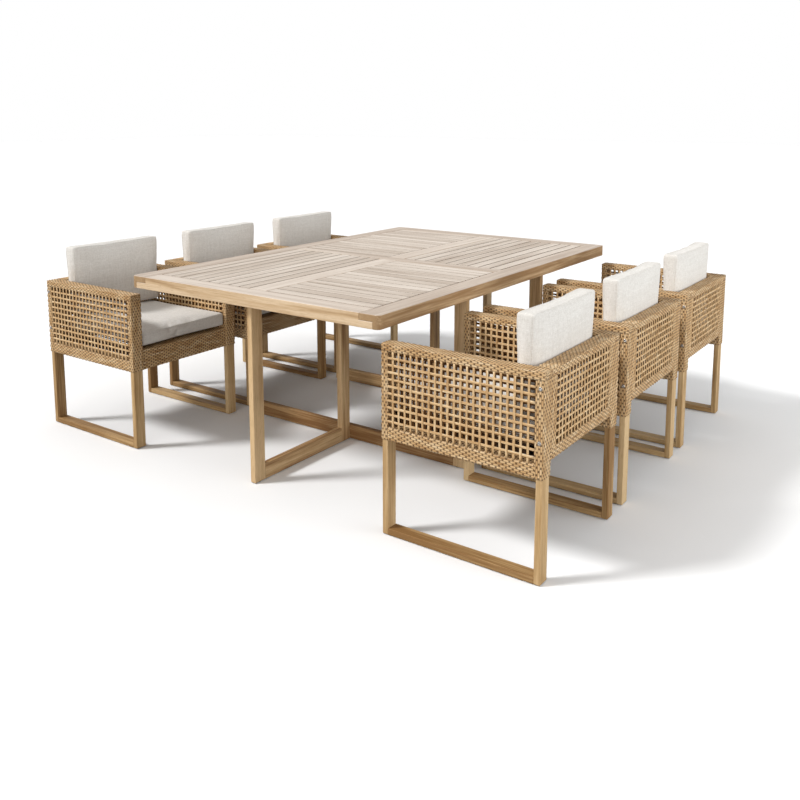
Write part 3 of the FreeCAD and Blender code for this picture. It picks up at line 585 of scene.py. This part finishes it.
def woven_bar(low, high, axis, free_ends, radius=0.004):
    """A box between two corners, wrapped in close weave that runs along one axis.

    Rings of the outline follow each other along the axis. At a free end they shrink over a quarter
    circle, of which one ring is CORNER_MIDWAY of the radius in, and then close over the end's face.
    Each bar counts its strands from a number of its own, so that no two bars have the same shades.
    """
    low, high = np.array(low, float), np.array(high, float)
    e3 = np.eye(3)[axis]
    e1, e2 = np.eye(3)[(axis + 1) % 3], np.eye(3)[(axis + 2) % 3]
    size = high - low
    width, height, length = size[(axis + 1) % 3], size[(axis + 2) % 3], size[axis]
    rows = 2 * max(round((width + height) / ROW), 3)
    stakes = max(round(length / STAKE), 1)
    half_least = min(width, height) / 2
    inset_steps = np.append(np.arange(radius, half_least - LAST_RING, ROW), half_least - CLOSED)
    end = [(0.0, inset) for inset in inset_steps[::-1]] + [(CORNER_MIDWAY * radius,) * 2]
    begin = end if free_ends[0] else []
    finish = [(length - s, inset) for s, inset in end[::-1]] if free_ends[1] else []
    first = radius if free_ends[0] else 0.0
    last = length - radius if free_ends[1] else length
    body = [(s, 0.0) for s in np.linspace(first, last, 2 * stakes + 1)]
    rings = begin + body + finish
    round_count = 2 * rows
    parity = np.arange(round_count) // 2
    crest = np.arange(round_count) % 2 == 1
    layers = []
    for number, (s, inset) in enumerate(rings):
        points, look = rounded_outline(width - 2 * inset, height - 2 * inset, radius - inset, round_count)
        step = number - len(begin)
        if step % 2 == 0:
            rise = np.where((step // 2 + parity) % 2 == 0, CREST, DIP)
        else:
            rise = np.full(round_count, MIDDLE)
        rise = np.where(crest, rise, VALLEY)
        share = min(inset / radius, 1.0)
        endways = share * (1 if s > length / 2 else -1)
        points = points + look * (1 - share) * rise[:, None]
        layers.append(points[:, :1] * e1 + points[:, 1:] * e2 + (s + endways * rise)[:, None] * e3)
    centre = (low + high) / 2 * (1 - e3) + low * e3
    points = (np.array(layers) + centre)[None]
    u = np.arange(len(rings))[None] / 2 - len(begin) / 2
    v = (np.arange(round_count + 1) / 2)[None] + 97.0 * round(abs(low.sum()) * 1000 % 50)
    made = carried(points, u, v, 1)
    made["finish"] = CLOSE
    return made


# %% [markdown]
# One chair is worked out facing +Y with its middle at the origin, and is then carried to its six
# places. The bands round the windows have the widths that the CAD gives them.

# %% One woven chair
arm_low, arm_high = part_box("chair2_arm_weave")
chair_middle = (arm_low + arm_high) / 2
HALF_WIDTH = (arm_high.x - arm_low.x) / 2
HALF_DEPTH = (arm_high.y - arm_low.y) / 2
ARM_LOW, ARM_TOP = arm_low.z, arm_high.z
back_low, back_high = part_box("chair2_back_weave")
INNER = (back_high.x - back_low.x) / 2
BACK_LOW = back_low.z
PANEL = HALF_WIDTH - INNER
BACK_FACE = -HALF_DEPTH + PANEL
seat_low, seat_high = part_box("chair2_seat_weave")
DECK_TOP = seat_high.z
APRON_FRONT = seat_high.y - chair_middle.y
APRON = 0.046
TOP_BAND, ARM_LOW_BAND, ARM_FRONT_BAND, ARM_BACK_BAND = 0.028, 0.047, 0.0282, 0.033
BACK_LOW_BAND, BACK_SIDE_BAND, DECK_BAND = 0.042, 0.034, 0.028
LATTICE_THICK = 0.0036
LATTICE_DEPTH = LATTICE_THICK / 2 + 0.0001
DECK_RADIUS = 0.0015
OVERLAP = 0.003
ARM_HOLES, BACK_HOLES, DECK_HOLES = (23, 11), (18, 10), (18, 18)


def window_faces(corner, a, b, size_a, size_b, holes, draw):
    """A lattice on each face of a panel: the near one looks along a x b, the far one away from it."""
    corner, a, b = (np.array(value, float) for value in (corner, a, b))
    out = np.cross(a, b)
    near = lattice(corner - out * LATTICE_DEPTH, a, b, size_a, size_b, holes, draw)
    far_corner = corner - out * (PANEL - LATTICE_DEPTH) + a * size_a
    return near + lattice(far_corner, -a, b, size_a, size_b, holes, draw)


def woven_arm(draw):
    """The arm on the chair's +X side."""
    left, right = INNER, HALF_WIDTH
    low, high = ARM_LOW + ARM_LOW_BAND, ARM_TOP - TOP_BAND
    back_y, front_y = -HALF_DEPTH + ARM_BACK_BAND, HALF_DEPTH - ARM_FRONT_BAND
    parts = [
        woven_bar((left, -HALF_DEPTH, high), (right, HALF_DEPTH, ARM_TOP), 1, BOTH),
        woven_bar((left, back_y - OVERLAP, ARM_LOW), (right, front_y + OVERLAP, low), 1, NEITHER),
        woven_bar((left, front_y, ARM_LOW), (right, HALF_DEPTH, high + OVERLAP), 2, ONLY_FIRST),
        woven_bar((left, -HALF_DEPTH, ARM_LOW), (right, back_y, high + OVERLAP), 2, ONLY_FIRST),
    ]
    parts += window_faces((right, back_y, low), (0, 1, 0), (0, 0, 1), front_y - back_y, high - low,
                          ARM_HOLES, draw)
    return joined(parts)


def woven_back(draw):
    """The back panel, between the arms."""
    low, high = BACK_LOW + BACK_LOW_BAND, ARM_TOP - TOP_BAND
    side, reach = INNER - BACK_SIDE_BAND, INNER + OVERLAP
    bars = (((-reach, high), (reach, ARM_TOP), 0), ((-reach, BACK_LOW), (reach, low), 0),
            ((-reach, low - OVERLAP), (-side, high + OVERLAP), 2),
            ((side, low - OVERLAP), (reach, high + OVERLAP), 2))
    parts = [woven_bar((x0, -HALF_DEPTH, z0), (x1, BACK_FACE, z1), axis, NEITHER)
             for (x0, z0), (x1, z1), axis in bars]
    parts += window_faces((-side, -HALF_DEPTH, low), (1, 0, 0), (0, 0, 1), 2 * side, high - low,
                          BACK_HOLES, draw)
    return joined(parts)


def woven_seat(draw):
    """The open deck under the cushion, and the apron in front of it."""
    apron_back, low = APRON_FRONT - APRON, DECK_TOP - LATTICE_THICK
    side, back_y, front_y = INNER - DECK_BAND, BACK_FACE + DECK_BAND, apron_back - DECK_BAND
    reach = INNER + OVERLAP
    bars = (((-INNER, BACK_FACE - OVERLAP), (INNER, back_y), 0),
            ((-INNER, front_y), (INNER, apron_back + OVERLAP), 0),
            ((-reach, back_y - OVERLAP), (-side, front_y + OVERLAP), 1),
            ((side, back_y - OVERLAP), (reach, front_y + OVERLAP), 1))
    parts = [woven_bar((-reach, apron_back, seat_low.z), (reach, APRON_FRONT, DECK_TOP), 0, NEITHER)]
    parts += [woven_bar((x0, y0, low), (x1, y1, DECK_TOP), axis, NEITHER, DECK_RADIUS)
              for (x0, y0), (x1, y1), axis in bars]
    parts += lattice((-side, back_y, (low + DECK_TOP) / 2), (1, 0, 0), (0, 1, 0), 2 * side, front_y - back_y,
                     DECK_HOLES, draw)
    return joined(parts)


# %% Finishes of the strands
STRAW = (srgb(172, 132, 86), srgb(202, 164, 116), srgb(218, 184, 138), srgb(234, 208, 168))
# The browns for the strands' backs are painted shade: the inside of a panel, seen through the holes.
PAINTED_SHADE_BROWNS = (srgb(88, 54, 22), srgb(108, 68, 30), srgb(126, 84, 40), srgb(144, 102, 56))
# FIBRE is the strands' own fibre colour; the second colour is painted shade for the gaps between strands and
# the dips under stakes.
FIBRE, PAINTED_GAP_SHADE = srgb(150, 112, 68), srgb(62, 32, 8)


def strand_finish(name, close, shades):
    """Resin strands in several shades of one colour.

    The piece's own map says how many stakes along and how many strands across a point is. Each
    strand has its own shade, which drifts along it, and it is painted darker at its edges as painted
    shade between strands. In the close weave a strand is also painted darker where it dives under a
    stake, more in some places than in others: painted shade in the dip.
    """
    material, tree, shader = new_material(name, Specular_IOR_Level=0.3)

    def place(first, first_scale, second, second_scale):
        scaled = (calc(tree, "MULTIPLY", first, first_scale), calc(tree, "MULTIPLY", second, second_scale))
        return add(tree, "CombineXYZ", {0: scaled[0], 1: scaled[1]}).outputs[0]

    split = add(tree, "SeparateXYZ", {0: add(tree, "UVMap", uv_map="strand_map").outputs[0]})
    u, v = split.outputs[0], split.outputs[1]
    strand = calc(tree, "FLOOR", v)
    beyond = calc(tree, "SUBTRACT", calc(tree, "MULTIPLY", calc(tree, "FRACT", v), 2.0), 1.0)
    across = calc(tree, "ABSOLUTE", beyond)
    shade = noise(tree, place(u, 0.16, strand, 7.31), 1.0)
    colour = ramp(tree, shade, *zip((0.30, 0.43, 0.55, 0.70), shades))
    fibres = noise(tree, place(u, 0.8, v, 9.0), 1.0)
    colour = blend_colours(tree, span(tree, fibres, 0.45, 0.75, 0.0, 0.35), colour, FIBRE)
    # Painted shade between strands: each strand darkens towards its edges, strongly in the close weave and a
    # little in the lattice.
    edge = span(tree, across, 0.66, 1.0, 0.0, 0.85) if close else span(tree, across, 0.80, 1.0, 0.0, 0.2)
    colour = blend_colours(tree, edge, colour, PAINTED_GAP_SHADE)
    humps = calc(tree, "MULTIPLY", across, across)
    height = calc(tree, "SUBTRACT", calc(tree, "MULTIPLY", fibres, 0.5), humps)
    if close:
        wave = calc(tree, "COSINE", calc(tree, "MULTIPLY", calc(tree, "ADD", u, strand), math.pi))
        pull = noise(tree, place(u, 0.7, strand, 3.17), 1.0, 1.0)
        wave = calc(tree, "ADD", wave, span(tree, pull, 0.25, 0.75, -0.25, 0.25))
        # Painted shade in the dips: a strand darkens where it dives under a stake.
        dive = calc(tree, "MULTIPLY", span(tree, wave, -0.42, -0.80), span(tree, across, 1.0, 0.45))
        colour = blend_colours(tree, calc(tree, "MULTIPLY", dive, 0.85), colour, PAINTED_GAP_SHADE)
        height = calc(tree, "SUBTRACT", height, calc(tree, "MULTIPLY", dive, 0.8))
    finish_with(tree, shader, colour, span(tree, fibres, 0.3, 0.7, 0.42, 0.58), height, 0.5, 0.0008)
    return material


# In the order of open strands, close weave and the strands' backs, the last being painted shade.
strand_finishes = (strand_finish("open_strands", False, STRAW), strand_finish("close_strands", True, STRAW),
                   strand_finish("strand_backs_painted_shade", False, PAINTED_SHADE_BROWNS))


# %% Carry the chair to its six places
def chair_place(number):
    """Where a chair stands: its middle, and 1 if it faces +Y or -1 if it is turned half round."""
    low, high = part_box(f"chair{number}_arm_weave")
    middle = (low + high) / 2
    return np.array([middle.x, middle.y, 0.0]), (1.0 if middle.y < 0 else -1.0)


def placed(points, number):
    """Points of a chair at the origin, turned and moved to that chair's place."""
    middle, facing = chair_place(number)
    return points * (facing, facing, 1.0) + middle


def woven_piece(name, surface, number):
    """One object of quads, with its map and its three finishes."""
    mesh = bpy.data.meshes.new(name)
    points, quads = placed(surface["points"], number), surface["quads"]
    mesh.vertices.add(len(points))
    mesh.vertices.foreach_set("co", points.astype(np.float32).ravel())
    mesh.loops.add(quads.size)
    mesh.loops.foreach_set("vertex_index", quads.astype(np.int32).ravel())
    mesh.polygons.add(len(quads))
    mesh.polygons.foreach_set("loop_start", np.arange(0, quads.size, 4, dtype=np.int32))
    mesh.polygons.foreach_set("material_index", surface["finish"].astype(np.int32))
    mesh.polygons.foreach_set("use_smooth", np.ones(len(quads), bool))
    mesh.update(calc_edges=True)
    layer = mesh.uv_layers.new(name="strand_map")
    layer.uv.foreach_set("vector", surface["places"].astype(np.float32).ravel())
    for finish in strand_finishes:
        mesh.materials.append(finish)
    return in_scene(name, mesh)


draw = np.random.default_rng(5)
arm = woven_arm(draw)
WOVEN = {"arm": joined([arm, mirrored(arm)]), "back": woven_back(draw), "seat": woven_seat(draw)}
for kind, surface in WOVEN.items():
    print(kind, 2 * len(surface["quads"]), "triangles")
for number in CHAIRS:
    for kind, surface in WOVEN.items():
        piece = woven_piece(f"chair{number}_woven_{kind}", surface, number)
        stands_for(piece, f"chair{number}", f"chair{number}_{kind}_weave")

# %% [markdown]
# Cushions
#
# A garden cushion is two panels and a strip between them, the boxing, sewn round a block of foam.
# The foam pushes the panels out into a crown, and the seams hold the edges in. Cloth simulation with
# air pressure gives that shape: a thinner, softened block is remeshed into small even quads and
# blown up for twenty steps, and the travel is then scaled so that the crown is as high as wanted.
# One seat and one back cushion are made this way and copied to the six chairs, because they were
# cut from one pattern.

# %% Soft shapes
VOXEL = 0.006
CORNER_RADIUS = 0.006
PRESSURE_STEPS = 20
WELT_RADIUS = 0.0017
WELT_ROOM = 0.003
RESTING_SHARE = 1.06


def softened_block(name, size, radius):
    """A block of even quads with rounded edges, its middle at the origin."""
    mesh = bpy.data.meshes.new(name)
    work = bmesh.new()
    bmesh.ops.create_cube(work, size=1.0, matrix=Matrix.Diagonal((*size, 1.0)))
    bmesh.ops.bevel(work, geom=work.edges[:], offset=radius, segments=4, profile=0.5, affect="EDGES")
    work.to_mesh(mesh)
    work.free()
    block = in_scene(name, mesh)
    remesh = block.modifiers.new("even_quads", "REMESH")
    remesh.mode = "VOXEL"
    remesh.voxel_size = VOXEL
    even = bpy.data.meshes.new_from_object(block.evaluated_get(bpy.context.evaluated_depsgraph_get()))
    block.modifiers.clear()
    block.data = even
    return block


def blown_up(block, thickness_axis, crown):
    """How far each point of a block travels when air fills it, scaled so that the most is the crown.

    The cover hardly stretches, so as the panels rise, the sides between the corners are pulled in.
    """
    rest = vertex_array(block.data)
    cloth = block.modifiers.new("air", "CLOTH")
    cloth.settings.quality = 6
    cloth.settings.mass = 0.25
    cloth.settings.tension_stiffness = cloth.settings.compression_stiffness = 60.0
    cloth.settings.shear_stiffness = 20.0
    cloth.settings.bending_stiffness = 0.5
    cloth.settings.use_pressure = True
    cloth.settings.uniform_pressure_force = 1.5
    cloth.settings.effector_weights.gravity = 0.0
    cloth.point_cache.frame_start, cloth.point_cache.frame_end = 1, PRESSURE_STEPS
    for step in range(1, PRESSURE_STEPS + 1):
        scene.frame_set(step)
    blown = vertex_array(block.evaluated_get(bpy.context.evaluated_depsgraph_get()).data)
    block.modifiers.clear()
    scene.frame_set(1)
    travel = blown - rest
    furthest = np.abs(travel[:, thickness_axis]).max()
    print(block.name, "crown before scaling:", round(furthest * 1000, 1), "mm")
    return travel * min(1.0, crown / furthest)


def edge_path(points, a, b, n, side, count=260):
    """The line where a panel meets the boxing: the points that reach furthest out and to one side.

    The plan is walked round in count steps. At each step, among the points near that direction, the
    one furthest along outwards + side is taken, and the line is then smoothed.
    a and b are the panel's axes, and n is the one through its thickness.
    """
    half = np.array([np.abs(points[:, a]).max(), np.abs(points[:, b]).max()])
    outline, look = rounded_outline(2 * half[0], 2 * half[1], 0.03, count)
    found = np.empty((count, 3))
    for step in range(count):
        offset = points[:, (a, b)] - outline[step]
        beside = np.abs(offset @ np.array([-look[step, 1], look[step, 0]])) < VOXEL
        near = beside & (np.linalg.norm(offset, axis=1) < 0.05)
        reach = points[near][:, (a, b)] @ look[step] + side * 1.1 * points[near][:, n]
        found[step] = points[near][np.argmax(reach)]
    kernel = np.ones(9) / 9
    padded = np.concatenate([found[-8:], found, found[:8]])
    return np.stack([np.convolve(padded[:, k], kernel, "same") for k in range(3)], 1)[8:-8]


def welt(path, around=8):
    """A thin sewn ridge: a circle carried round a closed path."""
    ahead = np.roll(path, -1, 0) - np.roll(path, 1, 0)
    ahead /= np.linalg.norm(ahead, axis=1, keepdims=True)
    outwards = path - path.mean(0)
    outwards -= (outwards * ahead).sum(1, keepdims=True) * ahead
    outwards /= np.linalg.norm(outwards, axis=1, keepdims=True)
    third = np.cross(ahead, outwards)
    angle = np.arange(around) / around * 2 * math.pi
    ring = np.cos(angle)[None, :, None] * outwards[:, None] + np.sin(angle)[None, :, None] * third[:, None]
    points = path[:, None] + WELT_RADIUS * ring
    here = np.arange(len(path) * around).reshape(-1, around)
    beside = np.roll(here, -1, 1)
    quads = np.stack([here, beside, np.roll(beside, -1, 0), np.roll(here, -1, 0)], -1).reshape(-1, 4)
    return points.reshape(-1, 3), quads


def cushion_shape(name, size, boxing, axes):
    """A finished cushion with its middle at the origin: the crowned cover and its two welts.

    boxing is the height of the sewn strip. The crown is what is left of the thickness. The side that
    bears weight, the low one, swells a little more and is flattened where it rests.
    """
    a, b, n = axes
    start = [size[k] - WELT_ROOM for k in range(3)]
    start[n] = boxing
    block = softened_block(name, start, CORNER_RADIUS)
    points = vertex_array(block.data) + blown_up(block, n, (size[n] - boxing) / 2)
    swollen = np.where(points[:, n] < 0, RESTING_SHARE, 1.0) * points[:, n]
    points[:, n] = np.maximum(swollen, -size[n] / 2)
    faces = [list(face.vertices) for face in block.data.polygons]
    parts, shift = [points], len(points)
    for side in (-1, 1):
        ridge, quads = welt(edge_path(points, a, b, n, side))
        parts.append(ridge)
        faces += (quads + shift).tolist()
        shift += len(ridge)
    bpy.data.objects.remove(block)
    return np.concatenate(parts), faces


# %% Seat and back cushions
SEAT_BOXING, BACK_BOXING = 0.056, 0.060
SEAT_FILL, BACK_FILL = 0.7, 0.8


def chair_cushion(kind, boxing, axes):
    """The points of a cushion in the chair at the origin, and its faces."""
    low, high = (np.array(corner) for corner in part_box(f"chair2_{kind}_cushion"))
    points, faces = cushion_shape(f"{kind}_cover", high - low, boxing, axes)
    return points + (low + high) / 2 - (chair_middle.x, chair_middle.y, 0.0), faces


CUSHIONS = {"seat": (*chair_cushion("seat", SEAT_BOXING, (0, 1, 2)), SEAT_FILL),
            "back": (*chair_cushion("back", BACK_BOXING, (0, 2, 1)), BACK_FILL)}
print("cushions:", [len(faces) for points, faces, fill in CUSHIONS.values()], "faces")

# %% [markdown]
# The covers are a woven outdoor cloth in undyed off-white. Close to, warp and weft show as a fine
# grid with thicker slubs here and there; from further off they melt into a soft mottle.

# %% Cushion cloth
cushion_cloth, tree, shader = new_material("undyed_cloth", Roughness=0.92, Specular_IOR_Level=0.2,
                                           Sheen_Weight=0.15)
place = spot(tree)


def threads(lengthways, crossways):
    """Three noises, each drawn out along one axis and fine across it, added: 0 to 3, mostly near 1.5."""
    total = 0.0
    for axis in range(3):
        scale = np.full(3, crossways)
        scale[axis] = lengthways
        total = calc(tree, "ADD", total, noise(tree, place, tuple(scale)))
    return total


slubs = span(tree, threads(60.0, 700.0), 0.9, 2.1)
streaks = span(tree, threads(9.0, 130.0), 1.25, 1.75)
colour = ramp(tree, slubs, (0.15, srgb(204, 199, 192)), (0.5, srgb(222, 218, 212)),
              (0.85, srgb(234, 231, 226)))
colour = blend_colours(tree, span(tree, streaks, 0.0, 1.0, 0.0, 0.30), colour, srgb(192, 186, 177))
finish_with(tree, shader, colour, None, slubs, 0.35, 0.0006)

for number in CHAIRS:
    for kind, (points, faces, fill) in CUSHIONS.items():
        piece = smooth_piece(f"chair{number}_{kind}_cover", placed(points, number), faces, cushion_cloth)
        stands_for(piece, f"chair{number}_{kind}_pad", f"chair{number}_{kind}_cushion")

# %% [markdown]
# Fittings
#
# Small metal and plastic parts tell the eye how large things are. The CAD keeps a chair's bolts and
# glides in one node, so they are made again here as two finishes: domed steel heads, turned from a
# profile, and black glides with a soft rim.


# %% Turned parts
def turned(profile, around=24):
    """A profile of (radius, height) points turned about the Z axis; both ends are on the axis."""
    profile = np.array(profile, float)
    angle = np.arange(around) / around * 2 * math.pi
    ring = np.stack([np.cos(angle), np.sin(angle)], -1)
    inner = profile[1:-1]
    heights = np.broadcast_to(inner[:, None, 1:], (len(inner), around, 1))
    points = np.concatenate([inner[:, None, :1] * ring[None], heights], axis=2)
    count = len(inner) * around
    points = np.concatenate([points.reshape(-1, 3), [[0, 0, profile[0, 1]], [0, 0, profile[-1, 1]]]])
    here = np.arange(count).reshape(len(inner), around)
    beside = np.roll(here, -1, 1)
    faces = np.stack([here[:-1], beside[:-1], beside[1:], here[1:]], -1).reshape(-1, 4).tolist()
    faces += [[count, beside[0, k], here[0, k]] for k in range(around)]
    faces += [[count + 1, here[-1, k], beside[-1, k]] for k in range(around)]
    return points, faces


def arc(radius_from, height_from, radius_to, height_to, steps=5):
    """A quarter of an ellipse between two points of a profile, leaving upwards and arriving level."""
    angle = np.linspace(0, math.pi / 2, steps)
    return [(radius_to + (radius_from - radius_to) * math.cos(t),
             height_from + (height_to - height_from) * math.sin(t)) for t in angle]


HEAD_RADIUS, HEAD_HEIGHT, HEAD_SOFTENING = 0.0065, 0.0026, 0.0004
SHANK_RADIUS, SHANK_LENGTH = 0.003, 0.02
SOCKET_RADIUS, SOCKET_FLOOR = 0.0018, 0.0016
GLIDE_RADIUS, GLIDE_HEIGHT, GLIDE_INSET, GLIDE_SOFTENING = 0.010, 0.003, 0.040, 0.001
bolt_profile = [(0, -SHANK_LENGTH), (SHANK_RADIUS, -SHANK_LENGTH), (SHANK_RADIUS, 0),
                (HEAD_RADIUS - HEAD_SOFTENING, 0), (HEAD_RADIUS, HEAD_SOFTENING),
                *arc(HEAD_RADIUS, 2 * HEAD_SOFTENING, SOCKET_RADIUS + HEAD_SOFTENING, HEAD_HEIGHT),
                (SOCKET_RADIUS, SOCKET_FLOOR), (0, SOCKET_FLOOR)]
glide_profile = [(0, 0), (GLIDE_RADIUS - GLIDE_SOFTENING, 0),
                 (GLIDE_RADIUS - 0.3 * GLIDE_SOFTENING, 0.3 * GLIDE_SOFTENING),
                 (GLIDE_RADIUS, GLIDE_SOFTENING), (GLIDE_RADIUS, GLIDE_HEIGHT), (0, GLIDE_HEIGHT)]


# %% Finishes of metal and plastic
def speckled(name, fineness, dark, pale, smooth, rough, bump=0.0, **sockets):
    """Two shades and two roughnesses mixed by a fine noise, which is also embossed if bump isn't 0."""
    material, tree, shader = new_material(name, **sockets)
    speck = noise(tree, spot(tree), fineness)
    finish_with(tree, shader, ramp(tree, speck, (0.3, srgb(*dark)), (0.7, srgb(*pale))),
                span(tree, speck, 0.3, 0.7, smooth, rough), speck if bump else None, bump, 0.0002)
    return material


bolt_steel = speckled("bolt_steel", 900.0, (172, 168, 164), (204, 200, 196), 0.28, 0.42, Metallic=1.0)
glide_plastic = speckled("glide_plastic", 1200.0, (22, 22, 22), (38, 37, 36), 0.45, 0.6,
                         Specular_IOR_Level=0.4)
tube_coat = speckled("brown_powder_coat", 1400.0, (62, 42, 26), (76, 53, 34), 0.5, 0.62, bump=0.2,
                     Specular_IOR_Level=0.4)


# %% Bolts and glides of a chair, and the finishes of the nodes that stay
def fitting(name, shape, places, sideways, number, finish):
    """Copies of a turned part at several places of one chair, as one piece.

    A part stands upright, or if it is sideways, lies along X with its top away from the chair.
    """
    points, faces = shape
    all_points, all_faces = [], []
    for place in places:
        side = np.sign(place[0])
        lying = np.stack([side * points[:, 2], side * points[:, 1], -points[:, 0]], axis=-1)
        all_faces += [[corner + len(points) * len(all_points) for corner in face] for face in faces]
        all_points.append((lying if sideways else points) + place)
    piece = smooth_piece(name, placed(np.concatenate(all_points), number), all_faces, finish)
    stands_for(piece, f"chair{number}", f"chair{number}_fittings")


def refinish(node, finish):
    """Give a CAD node that stays a finish of this file."""
    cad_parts[node].data.materials.clear()
    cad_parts[node].data.materials.append(finish)


CHAIR_BOARD = 0.022
BOLT_HEIGHTS = (0.613, 0.448)
leg_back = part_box("chair2_leg_frame")[0].y - chair_middle.y
rail_x = (INNER + HALF_WIDTH) / 2
bolt_places = [(side * HALF_WIDTH, leg_back + CHAIR_BOARD / 2, z) for side in (-1, 1) for z in BOLT_HEIGHTS]
glide_places = [(side * rail_x, end * (-leg_back - GLIDE_INSET), 0.0) for side in (-1, 1) for end in (-1, 1)]
for number in CHAIRS:
    fitting(f"chair{number}_bolts", turned(bolt_profile), bolt_places, True, number,
            bolt_steel)
    fitting(f"chair{number}_glides", turned(glide_profile), glide_places, False, number,
            glide_plastic)
    refinish(f"chair{number}_inner_frame", tube_coat)
refinish("table_glides", glide_plastic)
refinish("table_fasteners", bolt_steel)
